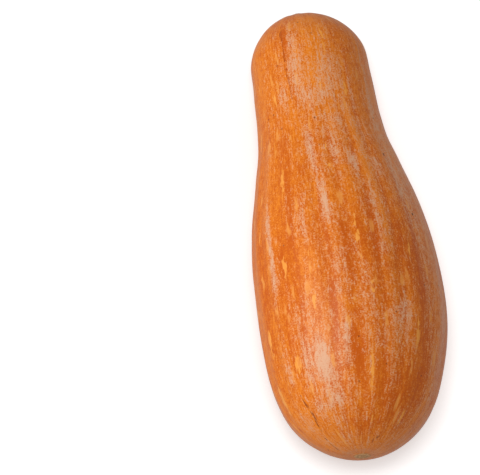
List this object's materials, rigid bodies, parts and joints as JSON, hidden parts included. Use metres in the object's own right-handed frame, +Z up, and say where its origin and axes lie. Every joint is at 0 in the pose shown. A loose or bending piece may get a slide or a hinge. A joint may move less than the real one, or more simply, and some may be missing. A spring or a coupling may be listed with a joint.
{
  "type": "butternut squash",
  "caption": "Whole butternut squash lying on its side: a long fruit with a full ribbed belly, a waisted neck and a short cut stem stub.",
  "frame": {"origin": "bottom centre of the bounding box, on the level surface that the squash lies on", "axes": "+Z up, long axis along Y, stem end at +Y, blossom end at -Y"},
  "size_m": [0.145, 0.378, 0.1448],
  "materials": {
    "rind": "natural squash rind: waxy, mottled orange to tan, with pale bloom, yellow flecks and shallow ribs",
    "stem_cork": "dry grey-tan corky stem wood, matte, with a fibrous cut top"
  },
  "bodies": {
    "root": {"fruit": "rind", "stem_stub": "stem_cork"}
  },
  "joints": []
}
